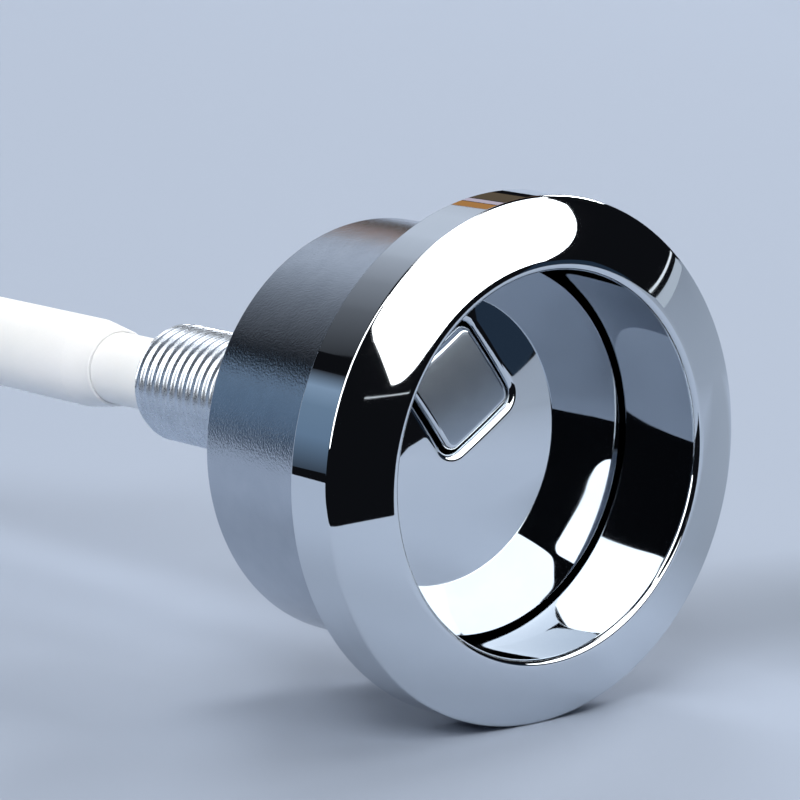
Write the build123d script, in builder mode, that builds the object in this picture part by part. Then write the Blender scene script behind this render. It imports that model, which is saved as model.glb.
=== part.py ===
# Push button cistern actuator: a flanged housing with a domed full flush button,
# a small square half flush button in the dome, a threaded stem and two push rods.
# Millimetres. The axis is Y: the face looks towards -Y and the rods run towards +Y.
# The origin is on the axis, in the plane where the flange seats on the cistern.
import os
from math import asin, cos, radians, sin, sqrt

from build123d import *

# Flange and barrel
flange_diameter = 58.0
flange_band = 6.1
face_rise = 2.6
face_crown = 0.12
mouth_lip = 0.7
flange_edge_round = 0.4
seat_edge_round = 0.2
barrel_diameter = 47.0
barrel_length = 22.0
barrel_wall = 1.4
stop_step = 0.9
barrel_edge_round = 0.3
key_width = 2.4
key_height = 0.7

# Domed full flush button
button_gap = 0.5
rim_depth = 3.5
rim_round = 0.15
crown_radius = 73.4
shoulder_radius = 60.0
shoulder_width = 4.4
skirt_length = 7.6
button_wall = 1.2

# Square half flush button, set in the dome with one side towards the axis
square_bearing = -32.4
crown_margin = 0.2
near_reach = 2.65
opening_corner = 1.75
opening_lip = 0.9
square_gap = 0.4
square_proud = 0.2
square_edge_round = 0.6
square_wall = 1.0
half_travel = 3.0

# Carrier behind the dome
seat_gap = 0.1
stop_gap = 0.2
guide_gap = 0.3
carrier_plate = 1.4
spigot_wall = 0.8
spigot_height = 1.6
guide_wall = 1.0
guide_height = 4.0
rib_count = 8
rib_width = 1.2
rib_height = 1.2

# Plunger behind the square
plunger_gap = 0.1
plunger_flange = 1.2
plunger_lap = 1.0
rod_boss_radius = 2.6
rod_boss_length = 2.5
rod_socket_depth = 2.0

# Rear cap, its circlip and the stem
end_room = 0.4
cap_plate = 1.8
cap_fit = 0.05
ring_lip = 0.2
ring_groove = 0.8
ring_groove_depth = 0.6
ring_width = 1.5
ring_play = 0.05
ring_opening = 9.0
ring_lug_radius = 1.7
ring_lug_hole = 0.6
cavity_room = 0.7
hub_wall = 1.6
hub_floor = 3.4
hub_edge_round = 0.8
stem_diameter = 14.0
stem_bore = 11.0
stem_length = 36.7
stem_chamfer = 0.8
stem_root_relief = 0.5
stem_fit = 0.05
nut_sides = 6
nut_across_flats = 19.0
nut_thickness = 3.5
nut_chamfer = 0.5

# Push tube, sleeve, guide bush and inner rod
tube_gap = 0.3
neck_diameter = 8.7
tube_chamber_diameter = 8.0
leg_chord = 3.0
tube_reach = 53.3
neck_length = 11.6
bush_length = 7.2
bush_inset = 0.5
bush_fit = 0.05
running_gap = 0.08
sleeve_diameter = 10.8
sleeve_nose_diameter = 9.4
sleeve_taper = 4.9
sleeve_fit = 0.05
sleeve_end_wall = 6.0
sleeve_end_round = 0.8
rod_diameter = 4.0
rod_gap = 0.3
rod_collar_diameter = 7.2
rod_collar_length = 1.2
rod_tip_reach = 6.0
rod_tip_round = 1.2

# Springs, at their length with both buttons up
return_spring_length = 15.0
return_wire = 0.7
return_turns = 9
half_spring_length = 11.8
half_wire = 0.6
half_spring_diameter = 6.0
half_turns = 7
spring_end_gap = 0.03

# Radii that follow from the sizes above
flange_radius = flange_diameter / 2
barrel_radius = barrel_diameter / 2
chamber_radius = barrel_radius - barrel_wall
bore_radius = chamber_radius - stop_step
mouth_radius = bore_radius + mouth_lip
button_radius = bore_radius - button_gap
crown_reach = button_radius - shoulder_width
skirt_inner = button_radius - button_wall
stem_radius = stem_diameter / 2
stem_root_radius = stem_radius - stem_root_relief
stem_hole_radius = stem_root_radius + stem_fit
stem_bore_radius = stem_bore / 2
tube_radius = stem_bore_radius - tube_gap
neck_radius = neck_diameter / 2
tube_chamber_radius = tube_chamber_diameter / 2
rod_radius = rod_diameter / 2
rod_bore_radius = rod_radius + rod_gap
carrier_radius = chamber_radius - guide_gap

# Stations along the axis, from the face to the rod's tip
face_y = -(flange_band + face_rise)
rim_y = rim_depth
button_back_y = rim_y + skirt_length
carrier_y = button_back_y + seat_gap
stop_y = carrier_y - stop_gap
carrier_back_y = carrier_y + carrier_plate
rib_back_y = carrier_back_y + rib_height
plunger_y = carrier_back_y + plunger_gap
plunger_back_y = plunger_y + plunger_flange
rod_boss_y = plunger_y + rod_boss_length
tube_y = rod_boss_y + half_travel + end_room
groove_end_y = barrel_length - ring_lip
cap_back_y = groove_end_y - ring_groove
cap_y = cap_back_y - cap_plate
full_travel = cap_y - end_room - rib_back_y
cavity_back_y = rod_boss_y + half_travel + full_travel + end_room
hub_back_y = cavity_back_y + hub_floor
nut_y = hub_back_y + stem_fit
nut_back_y = nut_y + nut_thickness
stem_end_y = barrel_length + stem_length
bush_back_y = stem_end_y - bush_inset
bush_y = bush_back_y - bush_length
shoulder_y = bush_y - return_spring_length
collar_y = tube_y + end_room
collar_back_y = collar_y + rod_collar_length
half_seat_y = collar_back_y + half_spring_length
sleeve_y = stem_end_y + neck_length
tube_end_y = stem_end_y + tube_reach
sleeve_end_y = tube_end_y + sleeve_end_wall
rod_tip_y = sleeve_end_y + rod_tip_reach

# The dome's section: a crown arc about the axis, then a shoulder arc tangent to it down to the rim
crown_angle = asin(crown_reach / crown_radius)
rim_angle = asin(sin(crown_angle) + shoulder_width / shoulder_radius)
crown_edge_y = rim_y - shoulder_radius * (cos(crown_angle) - cos(rim_angle))
crown_centre_y = crown_edge_y + crown_radius * cos(crown_angle)
apex_y = crown_centre_y - crown_radius
crown_centre = (0, crown_centre_y)
shoulder_centre_r = (crown_radius - shoulder_radius) * sin(crown_angle)
shoulder_centre = (shoulder_centre_r, crown_edge_y + shoulder_radius * cos(crown_angle))

# The lip round the square starts a little off the axis and keeps a margin inside the crown: half
# its flat, h, solves h^2 + (near_corner + 2 h)^2 = corner_reach^2 for the centres of its far corners
lip_corner = opening_corner + opening_lip
near_corner = near_reach + lip_corner
corner_reach = crown_reach - crown_margin - lip_corner
half_flat = (sqrt(5 * corner_reach**2 - near_corner**2) - 2 * near_corner) / 5
opening_side = 2 * (half_flat + opening_corner)
square_offset = near_corner + half_flat

# The plunger's flange is the opening, larger by its lap; its far corners set the room in the cap
plunger_side = opening_side + 2 * plunger_lap
plunger_corner = opening_corner + plunger_lap
cavity_radius = corner_reach + plunger_corner + cavity_room
hub_radius = cavity_radius + hub_wall

square_side = opening_side - 2 * square_gap
square_corner = opening_corner - square_gap
square_cavity_side = square_side - 2 * square_wall
square_cavity_corner = max(square_corner - square_wall, square_corner / 2)
square_cavity_y = crown_edge_y + square_wall

bearing = radians(square_bearing)


def cross_plane(y):
    """Plane across the axis at station y, with its local Y towards the small square."""
    return Plane(origin=(0, y, 0), x_dir=(cos(bearing), 0, -sin(bearing)), z_dir=(0, -1, 0))


def turned(points):
    """Turns a closed outline of (radius, station) points about the axis."""
    with BuildSketch(Plane.XY) as section:
        with BuildLine():
            Polyline(*points, close=True)
        make_face()
    revolve(section.sketch, axis=Axis.Y)


def on_arc(centre, radius, angle):
    """Point of an arc in the section, at an angle from the axis."""
    return (centre[0] + radius * sin(angle), centre[1] - radius * cos(angle))


def section_arc(centre, radius, start, end):
    """Arc of the section between two angles from the axis."""
    middle = (start + end) / 2
    ThreePointArc(*[on_arc(centre, radius, angle) for angle in (start, middle, end)])


def edges_at(part, y, radius):
    """The round edges of a turned part that lie at one station and radius."""
    tolerance = 0.01
    ring = part.edges().filter_by_position(Axis.Y, y - tolerance, y + tolerance).filter_by(GeomType.CIRCLE)
    return ring.filter_by(lambda edge: abs(edge.radius - radius) < tolerance)


os.makedirs("parts", exist_ok=True)

# Housing: crowned bevel face, rounded mouth, smooth bore, stop shoulder and circlip groove
face_mid = ((flange_radius + mouth_radius) / 2 + face_crown, (face_y - flange_band) / 2 - face_crown)
lip_mid_radius = mouth_radius - mouth_lip * sin(radians(45))
lip_mid_y = face_y + mouth_lip * (1 - cos(radians(45)))
groove_radius = chamber_radius + ring_groove_depth
with BuildPart() as housing:
    with BuildSketch(Plane.XY) as housing_section:
        with BuildLine():
            Polyline(
                (bore_radius, face_y + mouth_lip),
                (bore_radius, stop_y),
                (chamber_radius, stop_y),
                (chamber_radius, cap_back_y),
                (groove_radius, cap_back_y),
                (groove_radius, groove_end_y),
                (chamber_radius, groove_end_y),
                (chamber_radius, barrel_length),
                (barrel_radius, barrel_length),
                (barrel_radius, 0),
                (flange_radius, 0),
                (flange_radius, -flange_band),
            )
            ThreePointArc((flange_radius, -flange_band), face_mid, (mouth_radius, face_y))
            ThreePointArc(
                (mouth_radius, face_y),
                (lip_mid_radius, lip_mid_y),
                (bore_radius, face_y + mouth_lip),
            )
        make_face()
    revolve(axis=Axis.Y)
    fillet(edges_at(housing.part, -flange_band, flange_radius), radius=flange_edge_round)
    fillet(edges_at(housing.part, 0, flange_radius), radius=seat_edge_round)
    fillet(edges_at(housing.part, barrel_length, barrel_radius), radius=barrel_edge_round)
    with BuildSketch(cross_plane(stop_y)):
        with Locations((0, -chamber_radius)):
            Rectangle(key_width, 2 * key_height)
    extrude(amount=stop_y - cap_y)
housing.part.label = "housing"
export_step(housing.part, "parts/housing.step")

# Rear cap: closes the barrel; its hub makes room for the pressed buttons and holds the stem
cap_radius = chamber_radius - cap_fit
with BuildPart() as rear_cap:
    turned(
        [
            (stem_hole_radius, cavity_back_y),
            (cavity_radius, cavity_back_y),
            (cavity_radius, cap_y),
            (cap_radius, cap_y),
            (cap_radius, cap_back_y),
            (hub_radius, cap_back_y),
            (hub_radius, hub_back_y),
            (stem_hole_radius, hub_back_y),
        ]
    )
    fillet(edges_at(rear_cap.part, hub_back_y, hub_radius), radius=hub_edge_round)
rear_cap.part.label = "rear_cap"
export_step(rear_cap.part, "parts/rear_cap.step")

# Internal circlip behind the rear cap, with its two lugs beside the opening
ring_outer = groove_radius - ring_play
ring_inner = ring_outer - ring_width
ring_lug_x = ring_opening / 2 + ring_lug_radius
ring_lug_y = -sqrt((ring_outer - ring_lug_radius) ** 2 - ring_lug_x**2)
with BuildPart() as cap_ring:
    with BuildSketch(cross_plane(cap_back_y + ring_play)):
        Circle(ring_outer)
        Circle(ring_inner, mode=Mode.SUBTRACT)
        with Locations((0, -ring_outer)):
            Rectangle(ring_opening, 2 * ring_outer - ring_inner, mode=Mode.SUBTRACT)
        with Locations((-ring_lug_x, ring_lug_y), (ring_lug_x, ring_lug_y)):
            Circle(ring_lug_radius)
            Circle(ring_lug_hole, mode=Mode.SUBTRACT)
    extrude(amount=2 * ring_play - ring_groove)
cap_ring.part.label = "cap_ring"
export_step(cap_ring.part, "parts/cap_ring.step")

# Stem: tube whose root is screwed into the hub and the lock nut; the free thread is a plain cylinder
with BuildPart() as stem_tube:
    turned(
        [
            (stem_bore_radius, cavity_back_y),
            (stem_root_radius, cavity_back_y),
            (stem_root_radius, nut_back_y),
            (stem_radius, nut_back_y),
            (stem_radius, stem_end_y - stem_chamfer),
            (stem_radius - stem_chamfer, stem_end_y),
            (stem_bore_radius, stem_end_y),
        ]
    )
stem_tube.part.label = "stem_tube"
export_step(stem_tube.part, "parts/stem_tube.step")

# Lock nut on the stem, against the hub
with BuildPart() as lock_nut:
    with BuildSketch(cross_plane(nut_y)):
        RegularPolygon(nut_across_flats / 2, nut_sides, major_radius=False)
    extrude(amount=-nut_thickness)
    chamfer(lock_nut.faces().sort_by(Axis.Y)[-1].outer_wire().edges(), length=nut_chamfer)
    with BuildSketch(cross_plane(nut_y)):
        Circle(stem_hole_radius)
    extrude(amount=-nut_thickness, mode=Mode.SUBTRACT)
lock_nut.part.label = "lock_nut"
export_step(lock_nut.part, "parts/lock_nut.step")

# Guide bush in the end of the stem; the return spring bears on its front
with BuildPart() as stem_bush:
    turned(
        [
            (neck_radius + running_gap, bush_y),
            (stem_bore_radius - bush_fit, bush_y),
            (stem_bore_radius - bush_fit, bush_back_y),
            (neck_radius + running_gap, bush_back_y),
        ]
    )
stem_bush.part.label = "stem_bush"
export_step(stem_bush.part, "parts/stem_bush.step")

# Round button: a plated shell, domed, with a straight skirt, and a rolled lip round the square opening
inner_crown = crown_radius - button_wall
inner_shoulder = shoulder_radius - button_wall
inner_angle = asin((skirt_inner - shoulder_centre_r) / inner_shoulder)
with BuildPart() as round_button:
    with BuildSketch(Plane.XY):
        with BuildLine():
            section_arc(crown_centre, crown_radius, 0, crown_angle)
            section_arc(shoulder_centre, shoulder_radius, crown_angle, rim_angle)
            Polyline(
                on_arc(shoulder_centre, shoulder_radius, rim_angle),
                (button_radius, button_back_y),
                (skirt_inner, button_back_y),
                on_arc(shoulder_centre, inner_shoulder, inner_angle),
            )
            section_arc(shoulder_centre, inner_shoulder, inner_angle, crown_angle)
            section_arc(crown_centre, inner_crown, crown_angle, 0)
            Line((0, apex_y + button_wall), (0, apex_y))
        make_face()
    revolve(axis=Axis.Y)
    fillet(edges_at(round_button.part, rim_y, button_radius), radius=rim_round)
    with BuildSketch(cross_plane(carrier_y)):
        with Locations((0, square_offset)):
            RectangleRounded(opening_side, opening_side, opening_corner)
    extrude(amount=carrier_y - apex_y + button_wall, mode=Mode.SUBTRACT)
    crown_face = round_button.faces().filter_by(GeomType.SPHERE).sort_by(Axis.Y)[0]
    fillet(crown_face.inner_wires()[0].edges(), radius=opening_lip)
round_button.part.label = "round_button"
export_step(round_button.part, "parts/round_button.step")

# Carrier: stop flange, spigot in the skirt, guide round the square, ribs, seat of the push tube
spigot_radius = skirt_inner - seat_gap
guide_corner = opening_corner + guide_wall
rib_inner = cavity_radius
rib_length = carrier_radius - spigot_wall - rib_inner
leg_centre = -(leg_chord + tube_radius) / 2
leg_depth = tube_radius - leg_chord
with BuildPart() as button_carrier:
    with BuildSketch(cross_plane(carrier_y)):
        Circle(carrier_radius)
    extrude(amount=-carrier_plate)
    with BuildSketch(cross_plane(carrier_y)):
        Circle(spigot_radius)
        Circle(spigot_radius - spigot_wall, mode=Mode.SUBTRACT)
    extrude(amount=spigot_height)
    with BuildSketch(cross_plane(carrier_y)):
        with Locations((0, square_offset)):
            RectangleRounded(opening_side + 2 * guide_wall, opening_side + 2 * guide_wall, guide_corner)
    extrude(amount=guide_height)
    with BuildSketch(cross_plane(carrier_back_y)):
        with PolarLocations(rib_inner + rib_length / 2, rib_count, start_angle=180 / rib_count):
            Rectangle(rib_length, rib_width)
    extrude(amount=-rib_height)
    with BuildSketch(cross_plane(carrier_back_y)):
        with Locations((0, square_offset)):
            RectangleRounded(opening_side, opening_side, opening_corner)
    extrude(amount=carrier_plate + guide_height, mode=Mode.SUBTRACT)
    with BuildSketch(cross_plane(carrier_y)):
        with BuildSketch(mode=Mode.PRIVATE) as leg_slot:
            Circle(tube_radius + seat_gap)
            with Locations((0, leg_centre + seat_gap)):
                Rectangle(4 * tube_radius, leg_depth + 2 * seat_gap, mode=Mode.INTERSECT)
        add(leg_slot.sketch)
        with Locations((0, -carrier_radius)):
            Rectangle(key_width + 2 * guide_gap, 2 * (key_height + guide_gap))
    extrude(amount=-carrier_plate, mode=Mode.SUBTRACT)
button_carrier.part.label = "button_carrier"
export_step(button_carrier.part, "parts/button_carrier.step")

# Push tube: a leg up to the carrier past the plunger, a spring chamber, then the slim neck
with BuildPart() as push_tube:
    turned(
        [
            (tube_chamber_radius, tube_y),
            (tube_radius, tube_y),
            (tube_radius, shoulder_y),
            (neck_radius, shoulder_y),
            (neck_radius, tube_end_y),
            (rod_bore_radius, tube_end_y),
            (rod_bore_radius, half_seat_y),
            (tube_chamber_radius, half_seat_y),
        ]
    )
    with BuildSketch(cross_plane(carrier_y)):
        Circle(tube_radius)
        with Locations((0, leg_centre)):
            Rectangle(4 * tube_radius, leg_depth, mode=Mode.INTERSECT)
    extrude(amount=carrier_y - tube_y)
push_tube.part.label = "push_tube"
export_step(push_tube.part, "parts/push_tube.step")

# Sleeve: tapered nose on the neck, closed at its end but for the inner rod
with BuildPart() as rod_sleeve:
    turned(
        [
            (neck_radius + sleeve_fit, sleeve_y),
            (sleeve_nose_diameter / 2, sleeve_y),
            (sleeve_diameter / 2, sleeve_y + sleeve_taper),
            (sleeve_diameter / 2, sleeve_end_y),
            (rod_radius + running_gap, sleeve_end_y),
            (rod_radius + running_gap, tube_end_y + sleeve_fit),
            (neck_radius + sleeve_fit, tube_end_y + sleeve_fit),
        ]
    )
    fillet(edges_at(rod_sleeve.part, sleeve_end_y, sleeve_diameter / 2), radius=sleeve_end_round)
rod_sleeve.part.label = "rod_sleeve"
export_step(rod_sleeve.part, "parts/rod_sleeve.step")

# Square cap: a plated cap whose face follows the dome, hollow behind
with BuildPart() as square_cap:
    with BuildSketch(cross_plane(carrier_back_y)):
        with Locations((0, square_offset)):
            RectangleRounded(square_side, square_side, square_corner)
    extrude(amount=carrier_back_y - apex_y + square_wall)
    with Locations((0, crown_centre_y, 0)):
        Sphere(crown_radius + square_proud, mode=Mode.INTERSECT)
    fillet(square_cap.faces().filter_by(GeomType.SPHERE)[0].outer_wire().edges(), radius=square_edge_round)
    with BuildSketch(cross_plane(carrier_back_y)):
        with Locations((0, square_offset)):
            RectangleRounded(square_cavity_side, square_cavity_side, square_cavity_corner)
    extrude(amount=carrier_back_y - square_cavity_y, mode=Mode.SUBTRACT)
square_cap.part.label = "square_cap"
export_step(square_cap.part, "parts/square_cap.step")

# Plunger: fills the cap, stops against the back of the carrier and carries the inner rod
plug_y = square_cavity_y + cap_fit
plug_side = square_cavity_side - 2 * cap_fit
with BuildPart() as square_plunger:
    with BuildSketch(cross_plane(plug_y)):
        with Locations((0, square_offset)):
            RectangleRounded(plug_side, plug_side, square_cavity_corner)
    extrude(amount=plug_y - plunger_back_y)
    with BuildSketch(cross_plane(plunger_y)):
        with Locations((0, square_offset)):
            RectangleRounded(plunger_side, plunger_side, plunger_corner)
        with Locations((0, square_offset / 2)):
            Rectangle(2 * rod_boss_radius, square_offset)
    extrude(amount=-plunger_flange)
    with BuildSketch(cross_plane(plunger_y)):
        Circle(rod_boss_radius)
    extrude(amount=-rod_boss_length)
    with BuildSketch(cross_plane(rod_boss_y)):
        Circle(rod_radius + cap_fit)
    extrude(amount=rod_socket_depth, mode=Mode.SUBTRACT)
square_plunger.part.label = "square_plunger"
export_step(square_plunger.part, "parts/square_plunger.step")

# Inner rod: pressed into the plunger, with the collar that the small spring pushes on
rod_y = rod_boss_y - rod_socket_depth + cap_fit
rod_collar_radius = rod_collar_diameter / 2
with BuildPart() as half_rod:
    turned(
        [
            (0, rod_y),
            (rod_radius, rod_y),
            (rod_radius, collar_y),
            (rod_collar_radius, collar_y),
            (rod_collar_radius, collar_back_y),
            (rod_radius, collar_back_y),
            (rod_radius, rod_tip_y),
            (0, rod_tip_y),
        ]
    )
    fillet(edges_at(half_rod.part, rod_tip_y, rod_radius), radius=rod_tip_round)
half_rod.part.label = "half_rod"
export_step(half_rod.part, "parts/half_rod.step")


def coil(start_y, end_y, radius, wire, turns):
    """Sweeps a round wire along a helix about the axis, between two seats."""
    first = start_y + wire / 2 + spring_end_gap
    height = end_y - start_y - wire - 2 * spring_end_gap
    with BuildLine() as path:
        Helix(height / turns, height, radius, center=(0, first, 0), direction=(0, 1, 0))
    with BuildSketch(Plane(origin=path.line @ 0, z_dir=path.line % 0)) as wire_section:
        Circle(wire / 2)
    sweep(wire_section.sketch, path=path.line, is_frenet=True)


# Return spring: in the stem, between the push tube's shoulder and the bush
with BuildPart() as return_spring:
    coil(shoulder_y, bush_y, (neck_radius + stem_bore_radius) / 2, return_wire, return_turns)
return_spring.part.label = "return_spring"
export_step(return_spring.part, "parts/return_spring.step")

# Small spring: in the push tube, between the rod's collar and the end of the chamber
with BuildPart() as half_spring:
    coil(collar_back_y, half_seat_y, half_spring_diameter / 2, half_wire, half_turns)
half_spring.part.label = "half_spring"
export_step(half_spring.part, "parts/half_spring.step")
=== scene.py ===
import math

import bpy
import numpy as np
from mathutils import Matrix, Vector


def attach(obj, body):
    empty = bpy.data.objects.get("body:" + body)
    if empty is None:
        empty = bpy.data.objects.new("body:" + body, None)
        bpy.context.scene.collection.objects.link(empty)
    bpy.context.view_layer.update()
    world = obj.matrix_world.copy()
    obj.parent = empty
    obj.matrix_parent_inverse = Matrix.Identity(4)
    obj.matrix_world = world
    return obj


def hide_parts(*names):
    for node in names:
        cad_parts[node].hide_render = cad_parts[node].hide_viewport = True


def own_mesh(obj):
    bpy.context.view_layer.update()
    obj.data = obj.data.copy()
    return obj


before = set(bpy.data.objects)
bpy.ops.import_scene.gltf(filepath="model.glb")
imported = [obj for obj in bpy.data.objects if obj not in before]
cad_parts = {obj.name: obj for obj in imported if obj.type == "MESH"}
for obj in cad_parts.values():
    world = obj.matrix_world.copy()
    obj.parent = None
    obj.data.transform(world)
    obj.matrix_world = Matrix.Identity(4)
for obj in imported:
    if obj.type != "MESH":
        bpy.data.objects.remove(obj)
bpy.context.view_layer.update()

# View: the photograph's camera, level, a little above the button and well to the left of its face.
# A long lens from about half a metre keeps the flange nearly free of perspective.
camera_place = (-0.31424, -0.36426, 0.09417)
line_of_sight = Vector((0.62548, 0.75912, -0.1803))
camera_data = bpy.data.cameras.new("photo_camera")
camera_data.sensor_width = 36.0
camera_data.lens = 202.5
camera_data.clip_start = 0.01
camera = bpy.data.objects.new("photo_camera", camera_data)
camera.location = camera_place
camera.rotation_euler = line_of_sight.to_track_quat("-Z", "Y").to_euler()
bpy.context.collection.objects.link(camera)
bpy.context.scene.camera = camera
bpy.context.scene.view_settings.view_transform = "Standard"

# Housing: one zinc casting, turned and plated: a flange with a crowned bevel, a rolled mouth, a smooth bore
# and a thin barrel. Flange and mouth are buffed to a mirror, the bore is a darker mirror, and the barrel
# keeps its satin cast skin.


def rounded(corners, steps=8):
    """Outline of (radius, station, round) corners in millimetres, with each round put in as an arc."""
    outline = []
    for index, (radius, station, size) in enumerate(corners):
        corner = np.array((radius, station))
        if not size:
            outline.append(corner)
            continue
        back = np.array(corners[index - 1][:2]) - corner
        ahead = np.array(corners[(index + 1) % len(corners)][:2]) - corner
        back /= np.linalg.norm(back)
        ahead /= np.linalg.norm(ahead)
        half = math.acos(np.clip(back @ ahead, -1, 1)) / 2
        middle = (back + ahead) / np.linalg.norm(back + ahead)
        centre = corner + middle * size / math.sin(half)
        first = corner + back * size / math.tan(half) - centre
        last = corner + ahead * size / math.tan(half) - centre
        start = math.atan2(first[1], first[0])
        sweep = (math.atan2(last[1], last[0]) - start + math.pi) % (2 * math.pi) - math.pi
        for step in range(steps + 1):
            angle = start + sweep * step / steps
            outline.append(centre + size * np.array((math.cos(angle), math.sin(angle))))
    return np.array(outline)


def all_round(steps):
    """Angles of a whole turn."""
    return np.linspace(0, 2 * math.pi, steps, endpoint=False)


def ring(radius, station, angle):
    """One ring about the button's axis; its radius and station may change round it."""
    return np.stack([radius * np.cos(angle), station * np.ones(len(angle)), radius * np.sin(angle)], 1)


def turned(outline, segments):
    """Rings of an outline of (radius, station) points turned about the button's axis."""
    return np.array([ring(radius, station, all_round(segments)) for radius, station in outline])


def skin(name, body, node, *shells, crease=32):
    """One piece over shells in millimetres; a shell is (rings, whether its last ring meets its first)."""
    points, faces = [], []
    for rings, loops_back in shells:
        count, segments = rings.shape[:2]
        first = sum(len(block) for block in points)
        points.append(rings.reshape(-1, 3) * 0.001)
        cell = first + np.arange(count * segments).reshape(count, segments)
        upper = np.roll(cell, -1, 0) if loops_back else cell[1:]
        lower = cell if loops_back else cell[:-1]
        quads = np.stack([lower, np.roll(lower, -1, 1), np.roll(upper, -1, 1), upper], 2)
        faces += quads.reshape(-1, 4).tolist()
        if not loops_back:
            faces += [cell[0][::-1].tolist(), cell[-1].tolist()]
    mesh = bpy.data.meshes.new(name)
    mesh.from_pydata(np.concatenate(points).tolist(), [], faces)
    piece = bpy.data.objects.new(name, mesh)
    bpy.context.collection.objects.link(piece)
    bpy.context.view_layer.objects.active = piece
    bpy.ops.object.mode_set(mode="EDIT")
    bpy.ops.mesh.select_all(action="SELECT")
    bpy.ops.mesh.normals_make_consistent(inside=False)
    bpy.ops.object.mode_set(mode="OBJECT")
    mesh.shade_smooth()
    mesh.set_sharp_from_angle(angle=math.radians(crease))
    even = piece.modifiers.new("even_shading", "WEIGHTED_NORMAL")
    even.keep_sharp = True
    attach(piece, body)
    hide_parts(node)
    return piece


def spread(tree, value, low, high, to_low, to_high):
    """Maps a value's range to another, clamped."""
    node = tree.nodes.new("ShaderNodeMapRange")
    for label, number in (("From Min", low), ("From Max", high), ("To Min", to_low), ("To Max", to_high)):
        node.inputs[label].default_value = number
    tree.links.new(value, node.inputs["Value"])
    return node.outputs["Result"]


def wear_group(name, **masks):
    """A shader node group of noise masks over a piece: mask=(scale, detail, lowest noise, highest noise).

    Each mask runs from 0 to 1 between its lowest and highest noise, and its scale is an input of the group.
    """
    group = bpy.data.node_groups.new(name, "ShaderNodeTree")
    for label, (scale, *_) in masks.items():
        size = group.interface.new_socket(label + " Size", in_out="INPUT", socket_type="NodeSocketFloat")
        size.default_value = scale
        group.interface.new_socket(label, in_out="OUTPUT", socket_type="NodeSocketFloat")
    sizes, results = group.nodes.new("NodeGroupInput"), group.nodes.new("NodeGroupOutput")
    place = group.nodes.new("ShaderNodeTexCoord").outputs["Object"]
    for label, (_, detail, lowest, highest) in masks.items():
        noise = group.nodes.new("ShaderNodeTexNoise")
        noise.inputs["Detail"].default_value = detail
        group.links.new(place, noise.inputs["Vector"])
        group.links.new(sizes.outputs[label + " Size"], noise.inputs["Scale"])
        mask = spread(group, noise.outputs["Fac"], lowest, highest, 0.0, 1.0)
        group.links.new(mask, results.inputs[label])
    return group


# Wiped plating: broad cloudy smears, as fingers and a cloth leave on chrome
wiped = wear_group("wiped_plating", Smear=(60.0, 4.0, 0.42, 0.72))
# Satin skin: fine even grain of a blasted or cast surface under plating, with a coarser mottle
satin = wear_group("satin_skin", Grain=(3000.0, 2.0, 0.25, 0.75), Mottle=(420.0, 5.0, 0.3, 0.7))


def blank(name):
    """A new material, its node tree and its shader."""
    material = bpy.data.materials.new(name)
    material.use_nodes = True
    return material, material.node_tree, material.node_tree.nodes["Principled BSDF"]


def placed(tree, group, **sizes):
    """The masks of a wear group placed in a material with its own sizes."""
    node = tree.nodes.new("ShaderNodeGroup")
    node.node_tree = group
    for label, size in sizes.items():
        node.inputs[label + " Size"].default_value = size
    return node.outputs


def tinted(tree, shader, mask, low, high):
    """Base colour between two tones, by a mask."""
    mix = tree.nodes.new("ShaderNodeMix")
    mix.data_type = "RGBA"
    mix.inputs["A"].default_value = (*low, 1.0)
    mix.inputs["B"].default_value = (*high, 1.0)
    tree.links.new(mask, mix.inputs["Factor"])
    tree.links.new(mix.outputs["Result"], shader.inputs["Base Color"])


def surface(name, group, tone, grain, tones, roughness, dimples=None, metallic=1.0, **sizes):
    """A material whose base colour follows one mask of a wear group and whose roughness follows another.

    Both run between two values. dimples is the strength of a bump from the second mask and its depth in
    millimetres.
    """
    material, tree, shader = blank(name)
    shader.inputs["Metallic"].default_value = metallic
    masks = placed(tree, group, **sizes)
    tinted(tree, shader, masks[tone], *tones)
    tree.links.new(spread(tree, masks[grain], 0.0, 1.0, *roughness), shader.inputs["Roughness"])
    if dimples:
        strength, depth = dimples
        bump = tree.nodes.new("ShaderNodeBump")
        bump.inputs["Strength"].default_value = strength
        bump.inputs["Distance"].default_value = depth * 0.001
        tree.links.new(masks[grain], bump.inputs["Height"])
        tree.links.new(bump.outputs["Normal"], shader.inputs["Normal"])
    return material


mirror_chrome = surface("mirror_chrome", wiped, "Smear", "Smear",
                        ((0.74, 0.78, 0.82), (0.71, 0.75, 0.79)), (0.02, 0.05))
bore_chrome = surface("bore_chrome", wiped, "Smear", "Smear",
                      ((0.38, 0.415, 0.46), (0.35, 0.385, 0.43)), (0.02, 0.05), Smear=90.0)
satin_chrome = surface("satin_chrome", satin, "Mottle", "Grain",
                       ((0.47, 0.515, 0.575), (0.51, 0.555, 0.615)), (0.12, 0.22), (0.45, 0.025),
                       Grain=4200.0)

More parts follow.
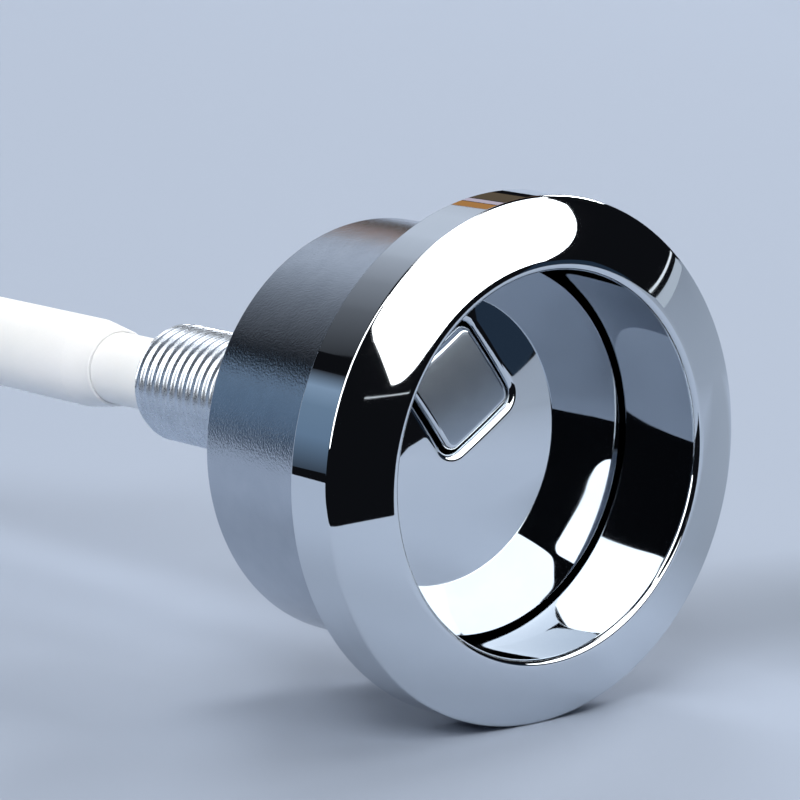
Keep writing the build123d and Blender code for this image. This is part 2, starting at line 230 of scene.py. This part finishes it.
flange_radius, flange_front = 29.0, -6.1
face_width, face_rise, face_crown, face_normal = 7.1, 2.6, 0.17, (0.344, 0.939)
mouth_middle, mouth_front, mouth_round = 21.9, -8.0, 0.7
bore_radius, bore_end = 21.2, 11.0
barrel_radius, barrel_end, rear_bore = 23.5, 22.0, 22.1
groove_radius, groove_front, groove_back = 22.7, 21.0, 21.8
face_arc = []
for share in np.linspace(0, 1, 15):
    bulge = face_crown * (1 - (2 * share - 1) ** 2)
    face_arc.append((flange_radius - face_width * share + bulge * face_normal[0],
                     flange_front - face_rise * share - bulge * face_normal[1]))
mouth_arc = [(mouth_middle - mouth_round * math.sin(a), mouth_front - mouth_round * math.cos(a))
             for a in np.linspace(0, math.pi / 2, 13)]
housing_back = rounded([(bore_radius, bore_end, 0.1), (rear_bore, bore_end, 0), (rear_bore, groove_front, 0),
                        (groove_radius, groove_front, 0), (groove_radius, groove_back, 0),
                        (rear_bore, groove_back, 0), (rear_bore, barrel_end, 0),
                        (barrel_radius, barrel_end, 0.3), (barrel_radius, 0.0, 0),
                        (flange_radius, 0.0, 0.2), (flange_radius, flange_front, 0.4),
                        (*face_arc[len(face_arc) // 2], 0), (bore_radius, mouth_front, 0)])
outline = np.concatenate([housing_back[:-2], np.array(face_arc[1:]), np.array(mouth_arc[1:])])
housing = skin("housing_shell", "housing", "housing", (turned(outline, 512), True))
housing.data.materials.append(mirror_chrome)
housing.data.materials.append(satin_chrome)
housing.data.materials.append(bore_chrome)
margin = 0.05
for face in housing.data.polygons:
    middle = face.center * 1000
    away = math.hypot(middle.x, middle.z)
    if middle.y > margin and away > bore_radius + margin:
        face.material_index = 1
    elif middle.y > mouth_front and away < bore_radius + margin:
        face.material_index = 2

# Round button: the full flush button, a pressed and plated cap with a low dome and a straight skirt, drawn
# to a rolled lip round the square opening. It slides in the bore on the carrier behind it.
lean = math.radians(-32.4)
square_centre = 9.1
button_steps = 384
ray = all_round(button_steps)


def square_reach(half, corner):
    """Distance from the square's centre to its rounded outline, for every ray."""
    flat = half - corner
    c, s = np.abs(np.cos(ray)), np.abs(np.sin(ray))
    across = half / np.maximum(c, s)
    side = np.minimum(c, s) * across
    along = flat * (c + s)
    round_corner = along + np.sqrt(np.maximum(along ** 2 - 2 * flat ** 2 + corner ** 2, 0))
    return np.where(side <= flat, across, round_corner)


def circle_reach(radius):
    """Distance from the square's centre to a circle about the button's axis, for every ray."""
    along = square_centre * np.sin(ray)
    return -along + np.sqrt(along ** 2 + radius ** 2 - square_centre ** 2)


def leaned(u, v):
    """Turns a place in the square's upright view to the button's own lean."""
    return u * math.cos(lean) + v * math.sin(lean), -u * math.sin(lean) + v * math.cos(lean)


def from_square(reach, height):
    """A ring about the square's centre; height is its station, or gives it by the distance from the axis."""
    u, v = reach * np.cos(ray), square_centre + reach * np.sin(ray)
    station = height(np.hypot(u, v)) if callable(height) else np.full(button_steps, float(height))
    x, z = leaned(u, v)
    return np.stack([x, station, z], 1)


crown_radius, crown_reach, shoulder_radius, rim_reach, rim_station = 73.4, 16.3, 60.0, 20.7, 3.5
crown_sine = crown_reach / crown_radius
rim_sine = crown_sine + (rim_reach - crown_reach) / shoulder_radius
crown_cos, rim_cos = math.sqrt(1 - crown_sine ** 2), math.sqrt(1 - rim_sine ** 2)
crown_edge = rim_station - shoulder_radius * (crown_cos - rim_cos)
crown_middle = crown_edge + crown_radius * crown_cos
shoulder_middle = crown_edge + shoulder_radius * crown_cos
shoulder_in = (crown_radius - shoulder_radius) * crown_sine


def dome(distance, sunk=0.0):
    """Station of the dome, or of a surface a little behind it, at a distance from the axis."""
    crown = crown_middle - np.sqrt((crown_radius - sunk) ** 2 - np.minimum(distance, crown_reach + 1) ** 2)
    out = np.clip(distance - shoulder_in, 0, shoulder_radius - sunk - 0.01)
    shoulder = shoulder_middle - np.sqrt((shoulder_radius - sunk) ** 2 - out ** 2)
    return np.where(distance < crown_reach * (1 - sunk / crown_radius), crown, shoulder)


opening, opening_corner, lip, wall = 5.55, 1.75, 0.9, 1.2
rim_edge, skirt_end, skirt_inner, skirt_front = rim_reach - 0.1, 11.1, 19.5, 6.0
rings = []
for angle in np.radians(np.linspace(90, 0, 13)):
    away, drop = lip * (1 - math.sin(angle)), lip * (1 - math.cos(angle))
    rings.append(from_square(square_reach(opening + away, opening_corner + away), lambda d: dome(d) + drop))
lip_reach = square_reach(opening + lip, opening_corner + lip)
for share in np.linspace(0, 1, 37)[1:]:
    rings.append(from_square(lip_reach + (circle_reach(crown_reach) - lip_reach) * share, dome))
for distance in np.linspace(crown_reach, rim_edge, 22)[1:]:
    rings.append(from_square(circle_reach(distance), dome))
for distance, station in rounded([(rim_edge, dome(rim_edge), 0), (rim_reach, rim_station, 0.08),
                                  (rim_reach, skirt_end, 0.15), (skirt_inner, skirt_end, 0.15),
                                  (skirt_inner, skirt_front, 0)], 6)[1:]:
    rings.append(from_square(circle_reach(distance), station))
for distance in np.linspace(skirt_inner, crown_reach, 12):
    rings.append(from_square(circle_reach(distance), lambda d: dome(d, wall)))
back_reach = square_reach(opening, opening_corner)
for share in np.linspace(1, 0, 13)[1:]:
    rings.append(from_square(back_reach + (circle_reach(crown_reach) - back_reach) * share,
                             lambda d: dome(d, wall)))
round_button = skin("round_button_cap", "full_button", "round_button", (np.array(rings), True))
round_button.data.materials.append(mirror_chrome)

# Square button: the half flush button, a small plated cap over its plunger. Its face follows the dome and is
# left satin between polished rounded edges; a narrow gap runs round it inside the lip.
face_half, face_corner, edge_round, proud = 5.15, 1.35, 0.6, 0.2
cap_end, cap_wall, cap_corner, cap_floor = 12.6, 1.0, 0.675, 3.32
face_rings = 14
rings = []


def square_face(distance):
    """Station of the square's face, a little proud of the dome."""
    return crown_middle - np.sqrt((crown_radius + proud) ** 2 - distance ** 2)


inner_reach = square_reach(face_half - edge_round, face_corner - edge_round)
for share in np.linspace(0.01, 1, face_rings):
    rings.append(from_square(inner_reach * share, square_face))
for angle in np.radians(np.linspace(0, 90, 9)[1:]):
    inset, drop = edge_round * (1 - math.sin(angle)), edge_round * (1 - math.cos(angle))
    rings.append(from_square(square_reach(face_half - inset, face_corner - inset),
                             lambda d: square_face(d) + drop))
rings.append(from_square(square_reach(face_half, face_corner), cap_end))
for station in (cap_end, cap_floor):
    rings.append(from_square(square_reach(face_half - cap_wall, cap_corner), station))
square_button = skin("square_button_cap", "half_button", "square_cap", (np.array(rings), False))
satin_face = surface("satin_button_face", satin, "Mottle", "Grain",
                     ((0.385, 0.44, 0.51), (0.435, 0.495, 0.565)), (0.24, 0.27), Grain=7000.0, Mottle=600.0)
square_button.data.materials.append(mirror_chrome)
square_button.data.materials.append(satin_face)
for face in square_button.data.polygons:
    if face.index < (face_rings - 1) * button_steps or len(face.vertices) > 4:
        face.material_index = 1

# Carrier and plunger: black mouldings behind the two buttons. Their black is partly painted shade: it
# darkens the gaps round the buttons, where the carrier shows. The carrier is glued in the skirt and stops on
# the shoulder in the barrel; the plunger fills the square cap and stops on the back of the carrier.
# Moulded skin: the fine spark of a mould's surface and the broad marks of flow
moulded = wear_group("moulded_skin", Spark=(2600.0, 3.0, 0.3, 0.7), Flow=(90.0, 3.0, 0.35, 0.65))
# Black moulding; its black is also painted shade in the gaps round the buttons
black_moulding_gap_shade = surface("black_moulding_gap_shade", moulded, "Flow", "Spark",
                         ((0.012, 0.012, 0.013), (0.022, 0.022, 0.024)), (0.42, 0.58), (0.3, 0.03), 0.0)
for node in ("button_carrier", "square_plunger"):
    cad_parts[node].data.materials.clear()
    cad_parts[node].data.materials.append(black_moulding_gap_shade)

# Inner rod: a white rod pressed into the plunger, with the collar that the small spring pushes on. Its round
# tip comes out of the end of the sleeve and presses the half flush lever.
white_moulding = surface("white_moulding", moulded, "Flow", "Spark",
                         ((0.88, 0.89, 0.885), (0.93, 0.93, 0.925)), (0.30, 0.42), (0.15, 0.05), 0.0,
                         Spark=1500.0)
shader = white_moulding.node_tree.nodes["Principled BSDF"]
shader.inputs["Subsurface Weight"].default_value = 0.15
shader.inputs["Subsurface Radius"].default_value = (0.002, 0.0018, 0.0016)
shader.inputs["Subsurface Scale"].default_value = 1.0

axis_gap = 0.02
rod_radius, rod_front, rod_end = 2.0, 13.25, 124.0
collar_radius, collar_front, collar_back = 3.6, 19.0, 20.2
outline = rounded([(axis_gap, rod_front, 0), (rod_radius, rod_front, 0.2), (rod_radius, collar_front, 0),
                   (collar_radius, collar_front, 0.15), (collar_radius, collar_back, 0.15),
                   (rod_radius, collar_back, 0), (rod_radius, rod_end, 1.2), (axis_gap, rod_end, 0)])
inner_rod = skin("inner_rod", "half_button", "half_rod", (turned(outline, 96), False))
inner_rod.data.materials.append(white_moulding)

# Springs: drawn steel wire. The small one stands in the push tube round the inner rod, the larger one in the
# stem round the tube's neck; each is squeezed when its button goes in.
drawn_wire = surface("drawn_wire", satin, "Mottle", "Grain",
                     ((0.46, 0.46, 0.47), (0.58, 0.58, 0.59)), (0.18, 0.34))
seat_gap = 0.03


def coil(start, end, radius, wire, turns, sides=14, steps=40):
    """Rings of a round wire wound between two seats, a hair clear of both."""
    turn = np.linspace(0, 2 * math.pi * turns, turns * steps + 1)
    height = end - start - wire - 2 * seat_gap
    station = start + wire / 2 + seat_gap + height * turn / turn[-1]
    rise = height / turn[-1]
    length = math.hypot(radius, rise)
    around = all_round(sides)
    rings = []
    for angle, y in zip(turn, station):
        out = np.array((math.cos(angle), 0, math.sin(angle)))
        along = np.array((-radius * math.sin(angle), rise, radius * math.cos(angle))) / length
        side = np.cross(along, out)
        centre = out * radius + np.array((0, y, 0))
        rings.append(centre + wire / 2 * (np.outer(np.cos(around), out) + np.outer(np.sin(around), side)))
    return np.array(rings)


small_spring = skin("small_spring", "full_button", "half_spring", (coil(20.2, 32.0, 3.0, 0.6, 7), False))
small_spring.data.materials.append(drawn_wire)
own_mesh(small_spring)
stem_spring = skin("stem_spring", "housing", "return_spring", (coil(36.0, 51.0, 4.925, 0.7, 9), False))
stem_spring.data.materials.append(drawn_wire)
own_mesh(stem_spring)

# Push tube: a white moulded tube. A leg reaches past the plunger to the carrier, the wide front holds the
# small spring, and the slim neck runs through the bush and carries the sleeve.
tube_radius, tube_front, tube_step = 5.2, 18.6, 36.0
neck_radius, neck_end = 4.35, 112.0
spring_bore, spring_seat, rod_bore = 4.0, 32.0, 2.3
leg_front, leg_flat, leg_steps = 11.2, 3.0, 25
outline = rounded([(spring_bore, tube_front, 0), (tube_radius, tube_front, 0.2),
                   (tube_radius, tube_step, 0.2), (neck_radius, tube_step, 0), (neck_radius, neck_end, 0.2),
                   (rod_bore, neck_end, 0), (rod_bore, spring_seat, 0), (spring_bore, spring_seat, 0)])
leg_angle = np.linspace(-1, 1, leg_steps) * math.acos(leg_flat / tube_radius) - math.pi / 2
leg_x, leg_z = leaned(tube_radius * np.cos(leg_angle), tube_radius * np.sin(leg_angle))
leg = np.array([np.stack([leg_x, np.full(leg_steps, y), leg_z], 1) for y in (leg_front, tube_front)])
push_tube = skin("push_tube_moulding", "full_button", "push_tube", (turned(outline, 128), True),
                 (leg, False))
push_tube.data.materials.append(white_moulding)

# Rear cap: a turned and plated disc that closes the barrel behind the carrier. Its deep hub leaves room for
# the pressed buttons and is threaded for the stem.
hub_bore, cup_radius, disc_radius, hub_radius = 6.55, 16.9, 22.05, 18.5
cup_floor, disc_front, disc_back, hub_back = 23.6, 19.2, 21.0, 27.0
outline = rounded([(hub_bore, cup_floor, 0), (cup_radius, cup_floor, 0.3), (cup_radius, disc_front, 0.15),
                   (disc_radius, disc_front, 0.15), (disc_radius, disc_back, 0.1),
                   (hub_radius, disc_back, 0), (hub_radius, hub_back, 0.8), (hub_bore, hub_back, 0.1)])
rear_cap = skin("rear_cap_disc", "housing", "rear_cap", (turned(outline, 256), True))
rear_cap.data.materials.append(satin_chrome)

# Circlip: a stamped spring steel ring with two eared ends, sprung into the groove behind the rear cap.
# It is left dark from hardening, and pliers take it by the eyes in its ears.
circlip_steel = surface("circlip_steel", satin, "Mottle", "Grain",
                        ((0.20, 0.20, 0.21), (0.30, 0.30, 0.31)), (0.30, 0.46), Grain=4000.0)
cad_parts["cap_ring"].data.materials.clear()
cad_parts["cap_ring"].data.materials.append(circlip_steel)

# Stem: a bright plated tube with an M14 x 1.5 thread along its free length, screwed into the hub. The thread
# takes the clamping nut of the cistern; the mouth of the tube is chamfered.
pitch, crest, root = 1.5, 7.0, 6.65
thread_start, thread_end, stem_front = 30.55, 58.7, 23.6
stem_bore, plain_radius, tip_radius, tip_step = 5.5, 6.5, 6.1, 0.15
crest_share, root_share, chamfer, pitch_steps = 0.14, 0.80, 0.9, 18
turn = all_round(160)
rings = [ring(r, y, turn) for r, y in ((stem_bore, stem_front), (plain_radius, stem_front),
                                       (plain_radius, thread_start))]
for station in np.arange(thread_start, thread_end - 0.02, pitch / pitch_steps):
    place = ((station / pitch - turn / (2 * math.pi)) % 1.0) * 2 - 1
    flank = np.clip((np.abs(place) - crest_share) / (root_share - crest_share), 0, 1)
    depth = (crest - root) * (flank ** 2 * (3 - 2 * flank) * 0.5 + flank * 0.5)
    limit = crest - max(0.0, station - (thread_end - chamfer))
    rings.append(ring(np.minimum(crest - depth, limit), station, turn))
rings += [ring(r, y, turn) for r, y in ((tip_radius, thread_end), (stem_bore + tip_step, thread_end),
                                        (stem_bore, thread_end - tip_step))]
stem = skin("threaded_stem", "housing", "stem_tube", (np.array(rings), True), crease=50)
bright_thread = surface("bright_thread", satin, "Mottle", "Grain",
                        ((0.58, 0.635, 0.71), (0.64, 0.695, 0.77)), (0.24, 0.34), Grain=5000.0, Mottle=300.0)
stem.data.materials.append(bright_thread)

# Lock nut: a thin turned brass hexagon, chamfered on its outer face, tightened on the stem against the hub.
# It is left bare, a little dulled, because it sits inside the cistern.
brass = surface("turned_brass", satin, "Mottle", "Grain",
                ((0.60, 0.43, 0.20), (0.72, 0.54, 0.28)), (0.20, 0.36), Grain=2500.0, Mottle=250.0)
nut_half, nut_face, nut_bore, nut_mouth = 9.5, 9.2, 6.55, 6.9
nut_front, nut_edge, nut_back, nut_slope = 27.05, 30.5, 30.55, 0.55
nut_turn = all_round(240)
hexagon = nut_half / np.cos((nut_turn - lean - math.pi / 6) % (math.pi / 3) - math.pi / 6)
rings = [ring(radius, station, nut_turn) for radius, station in (
    (nut_bore, nut_front), (hexagon, nut_front), (hexagon, nut_edge - (hexagon - nut_face) * nut_slope),
    (nut_face, nut_back), (nut_mouth, nut_back), (nut_bore, nut_back - (nut_mouth - nut_bore)))]
nut = skin("lock_nut_hexagon", "housing", "lock_nut", (np.array(rings), True), crease=20)
nut.data.materials.append(brass)

# Bush: a white moulded ring pressed into the end of the stem. It guides the push tube's neck and the return
# spring bears on it.
bush_bore, bush_radius, bush_front, bush_back = 4.43, 5.45, 51.0, 58.2
outline = rounded([(bush_bore, bush_front, 0.1), (bush_radius, bush_front, 0.15),
                   (bush_radius, bush_back, 0.2), (bush_bore, bush_back, 0.25)])
bush = skin("guide_bush", "housing", "stem_bush", (turned(outline, 128), True))
bush.data.materials.append(white_moulding)

# Sleeve: a thicker white moulded tube with a tapered nose, pushed over the neck of the push tube.
# It is closed at its end but for the inner rod, and presses the full flush lever.
sleeve_bore, nose_radius, sleeve_radius, rod_hole = 4.4, 4.7, 5.4, 2.08
nose_front, nose_back, sleeve_floor, sleeve_end = 70.3, 75.2, 112.05, 118.0
outline = rounded([(sleeve_bore, nose_front, 0), (nose_radius, nose_front, 0.25),
                   (sleeve_radius, nose_back, 1.5), (sleeve_radius, sleeve_end, 0.8),
                   (rod_hole, sleeve_end, 0.2), (rod_hole, sleeve_floor, 0), (sleeve_bore, sleeve_floor, 0)])
sleeve = skin("rod_sleeve_tube", "full_button", "rod_sleeve", (turned(outline, 160), True))
sleeve.data.materials.append(white_moulding)

# Table and room: pale blue grey paper that ends a hand's width in front of the face and sweeps up at the
# right and the back. The mirror shows soft boxes in front, overhead and at the left, and a dim room with
# shelves: glowing cards that only reflections see. Six soft lamps light paper and plastic.
paper, tree, shader = blank("pale_paper")
paper_place = tree.nodes.new("ShaderNodeTexCoord").outputs["Object"]


def along(direction):
    """Distance of a place on the paper along a direction."""
    node = tree.nodes.new("ShaderNodeVectorMath")
    node.operation = "DOT_PRODUCT"
    node.inputs[1].default_value = direction
    tree.links.new(paper_place, node.inputs[0])
    return node.outputs["Value"]


def maths(operation, *values):
    """Result of a maths node on one or two values."""
    node = tree.nodes.new("ShaderNodeMath")
    node.operation = operation
    for socket, value in zip(node.inputs, values):
        tree.links.new(value, socket)
    return node.outputs["Value"]


# Shade on the paper: a soft band to the right of the button, and all of its far right
beside = spread(tree, along((0.99, -0.12, 0.0)), 0.035, 0.065, 0.0, 1.0)
near_line = spread(tree, maths("ABSOLUTE", along((0.12, 0.99, 0.0))), 0.018, 0.05, 1.0, 0.0)
far_right = spread(tree, along((0.8, -0.6, 0.0)), 0.13, 0.36, 0.0, 1.0)
shade = maths("MAXIMUM", far_right, maths("MULTIPLY", beside, near_line))
tinted(tree, shader, shade, (0.30, 0.347, 0.43), (0.205, 0.24, 0.295))
texture = placed(tree, moulded, Flow=3.0)
tree.links.new(spread(tree, texture["Flow"], 0.0, 1.0, 0.75, 0.85), shader.inputs["Roughness"])
shader.inputs["Specular IOR Level"].default_value = 0.2

# Elevation of the paper's edge seen from the button, by azimuth from the face's axis to the right
edge_azimuth = [-180, -152, -147, -141, -120, -60, -25, 8, 18, 30, 42, 54, 63, 80, 110, 140, 180]
edge_elevation = [6.5, 6.5, -1, -5.6, -10, -16, -16.5, -14.5, -8, -4, -1, 3, 6, 10, 9, 8.5, 7]
table_height, near_reach, far_reach, far_from, middle_hole = -29.0, 900.0, 1900.0, 115, 5.0
corners, faces = [], []
azimuths = np.arange(-180, 180, 2.0)
shares = np.linspace(0, 1, 40)
for azimuth in azimuths:
    elevation = math.radians(np.interp(azimuth, edge_azimuth, edge_elevation))
    reach = far_reach if abs(azimuth) > far_from and elevation > 0 else near_reach
    if elevation < 0:
        reach = min(reach, -table_height / math.tan(-elevation))
    rise = max(0.0, reach * math.tan(elevation) - table_height)
    for share in shares:
        height = table_height + rise * max(0.0, (share - 0.5) / 0.5) ** 2
        a, away = math.radians(azimuth), middle_hole + (reach - middle_hole) * share
        corners.append((away * math.sin(a) / 1000, -away * math.cos(a) / 1000, height / 1000))
for spoke in range(len(azimuths)):
    here, following = spoke * len(shares), (spoke + 1) % len(azimuths) * len(shares)
    for k in range(len(shares) - 1):
        faces.append((here + k, here + k + 1, following + k + 1, following + k))
faces.append([spoke * len(shares) for spoke in range(len(azimuths))])
paper_mesh = bpy.data.meshes.new("paper_sweep")
paper_mesh.from_pydata(corners, [], faces)
paper_mesh.shade_smooth()
paper_mesh.materials.append(paper)
paper_sweep = bpy.data.objects.new("paper_sweep", paper_mesh)
bpy.context.collection.objects.link(paper_sweep)


def way(azimuth, elevation):
    """Direction from the button: azimuth from the face's axis to the right, and elevation, in degrees."""
    a, e = math.radians(azimuth), math.radians(elevation)
    return Vector((math.sin(a) * math.cos(e), -math.cos(a) * math.cos(e), math.sin(e)))


def card(name, outline, distance=1.9):
    """A glowing card drawn by its corners: azimuth, elevation and the light's three colours."""
    ways = [way(azimuth, elevation) for azimuth, elevation, *_ in outline]
    middle = sum(ways, Vector()).normalized()
    mesh = bpy.data.meshes.new(name)
    mesh.from_pydata([to * (distance / to.dot(middle)) for to in ways], [], [list(range(len(ways)))])
    glow = mesh.color_attributes.new("glow", "FLOAT_COLOR", "POINT")
    for point, (_, _, *colour) in zip(glow.data, outline):
        point.color = (*colour, 1.0)
    material = bpy.data.materials.new(name)
    material.use_nodes = True
    nodes, links = material.node_tree.nodes, material.node_tree.links
    nodes.remove(nodes["Principled BSDF"])
    light = nodes.new("ShaderNodeEmission")
    colours = nodes.new("ShaderNodeAttribute")
    colours.attribute_name = "glow"
    links.new(colours.outputs["Color"], light.inputs["Color"])
    links.new(light.outputs["Emission"], nodes["Material Output"].inputs["Surface"])
    mesh.materials.append(material)
    panel = bpy.data.objects.new(name, mesh)
    panel.visible_camera = False
    panel.visible_diffuse = False
    panel.visible_shadow = False
    bpy.context.collection.objects.link(panel)


def lit(colour, *corners):
    """Corners of one colour."""
    return [(a, e, *colour) for a, e in corners]


def eased(outline):
    """The outline with its corners cut round, as the cloth of a soft box has."""
    for _ in range(2):
        pairs = list(zip(outline, outline[1:] + outline[:1]))
        outline = [tuple(np.array(p) * (1 - t) + np.array(q) * t) for p, q in pairs for t in (0.25, 0.75)]
    return outline


card("soft_box", eased(lit((3.7, 3.7, 3.7), (-10, 28), (-5, 21.6), (-0.8, 16), (2, 11), (4.9, 6.2),
                           (5.3, 5.5), (8.5, 5.3), (12, 6.6), (16, 9.4), (21, 12.4), (27, 14.4),
                           (34, 15.2), (42, 15.6), (48, 17.3), (52.5, 20.5), (54, 24), (53, 28),
                           (50, 33), (44, 37), (20, 36), (0, 34), (-7, 31))), 3.0)
card("overhead_box", eased(lit((3.5, 3.5, 3.5), (-21, 39), (-10, 40), (2, 39), (12, 36), (30, 34), (45, 29),
                               (56, 32), (56, 45), (52, 58), (40, 67), (0, 71), (-25, 70), (-36, 63),
                               (-41, 57), (-36, 52), (-29, 46))), 2.4)
card("left_box", eased(lit((3.8, 3.8, 3.8), (-108, 6), (-75, 5), (-69, 10), (-66.5, 18), (-65, 26),
                           (-60.5, 36), (-53, 46), (-45, 52.5), (-44, 56), (-52, 59), (-60, 62),
                           (-108, 52))), 1.6)
card("box_stand", lit((0.80, 0.84, 0.88), (-2.7, 5.4), (3.7, 4.32), (11.8, 2.8), (11.8, 2.6), (3.7, 4.1),
                      (-2.7, 5.1)))
card("paper_edge", lit((0.95, 1.0, 1.05), (61.5, 7.2), (80, 11.7), (80.2, 11.3), (61.8, 6.85)), 0.8)
card("paper_edge", lit((0.50, 0.56, 0.64), (62.6, 6.0), (80.4, 10.4), (80.8, 8.8), (64, 4.4)), 0.8)
for low, high, start, end in ((-5.0, 4, (0.05, 0.07, 0.10), (0.15, 0.23, 0.34)),
                              (4, 12, (0.15, 0.23, 0.34), (0.17, 0.255, 0.365)),
                              (12, 17, (0.17, 0.255, 0.365), (0.26, 0.365, 0.50)),
                              (17, 21, (0.26, 0.365, 0.50), (0.035, 0.04, 0.05))):
    card("left_wall", lit(start, (-156, low), (-126, low)) + lit(end, (-126, high), (-156, high)))
ceiling = [(141, 0.48), (152, 0.62), (163, 0.62), (174, 0.50), (186, 0.31), (198, 0.17), (212, 0.04)]
for (low, start), (high, end) in zip(ceiling, ceiling[1:]):
    start, end = (start, start * 1.1, start * 1.27), (end, end * 1.1, end * 1.27)
    card("back_ceiling", lit(start, (low, 26), (low, 62)) + lit(end, (high, 62), (high, 26)))
card("wood_shelf", lit((0.46, 0.22, 0.07), (134, 22.6), (152, 22.6), (152, 25.8), (134, 25.8)))
card("shelf_goods", lit((0.56, 0.49, 0.58), (134, 20.2), (148, 20.2), (148, 22.4), (134, 22.4)))
card("low_shelf", lit((0.11, 0.085, 0.058), (134, 12.5), (149, 12.5), (149, 19.8), (134, 19.8)))
card("far_room", lit((0.018, 0.032, 0.055), (37, 1), (46, -0.5), (53, 4), (50, 12), (38, 12)))

# Lamps: the boxes' light on paper and plastic; the top and right ones also show on the thread
lamp_distance = 3.0
for name, azimuth, elevation, size, power in (
        ("left_lamp", -87, 33, 1.0, 34.5), ("front_lamp", -50, 45, 1.4, 60.0),
        ("front_right_lamp", 70, 40, 1.4, 18.0), ("right_lamp", 105, 36, 0.8, 41.0),
        ("back_lamp", 145, 44, 1.0, 33.5), ("top_lamp", 140, 84, 1.4, 23.0)):
    light = bpy.data.lights.new(name, "AREA")
    light.shape, light.size, light.energy = "SQUARE", size, power
    lamp = bpy.data.objects.new(name, light)
    lamp.location = way(azimuth, elevation) * lamp_distance
    lamp.rotation_euler = lamp.location.to_track_quat("Z", "Y").to_euler()
    lamp.visible_glossy = name in ("top_lamp", "right_lamp")
    lamp.visible_camera = False
    bpy.context.collection.objects.link(lamp)

room = bpy.data.worlds.new("dim_room")
room.use_nodes = True
bpy.context.scene.world = room
tree = room.node_tree
backdrop = tree.nodes["Background"]
backdrop.inputs["Color"].default_value = (0.50, 0.57, 0.68, 1.0)
dark = tree.nodes.new("ShaderNodeBackground")
dark.inputs["Color"].default_value = (0.005, 0.0055, 0.007, 1.0)
path = tree.nodes.new("ShaderNodeLightPath")
choose = tree.nodes.new("ShaderNodeMixShader")
tree.links.new(path.outputs["Is Camera Ray"], choose.inputs["Fac"])
tree.links.new(dark.outputs["Background"], choose.inputs[1])
tree.links.new(backdrop.outputs["Background"], choose.inputs[2])
tree.links.new(choose.outputs["Shader"], tree.nodes["World Output"].inputs["Surface"])

bpy.context.view_layer.update()
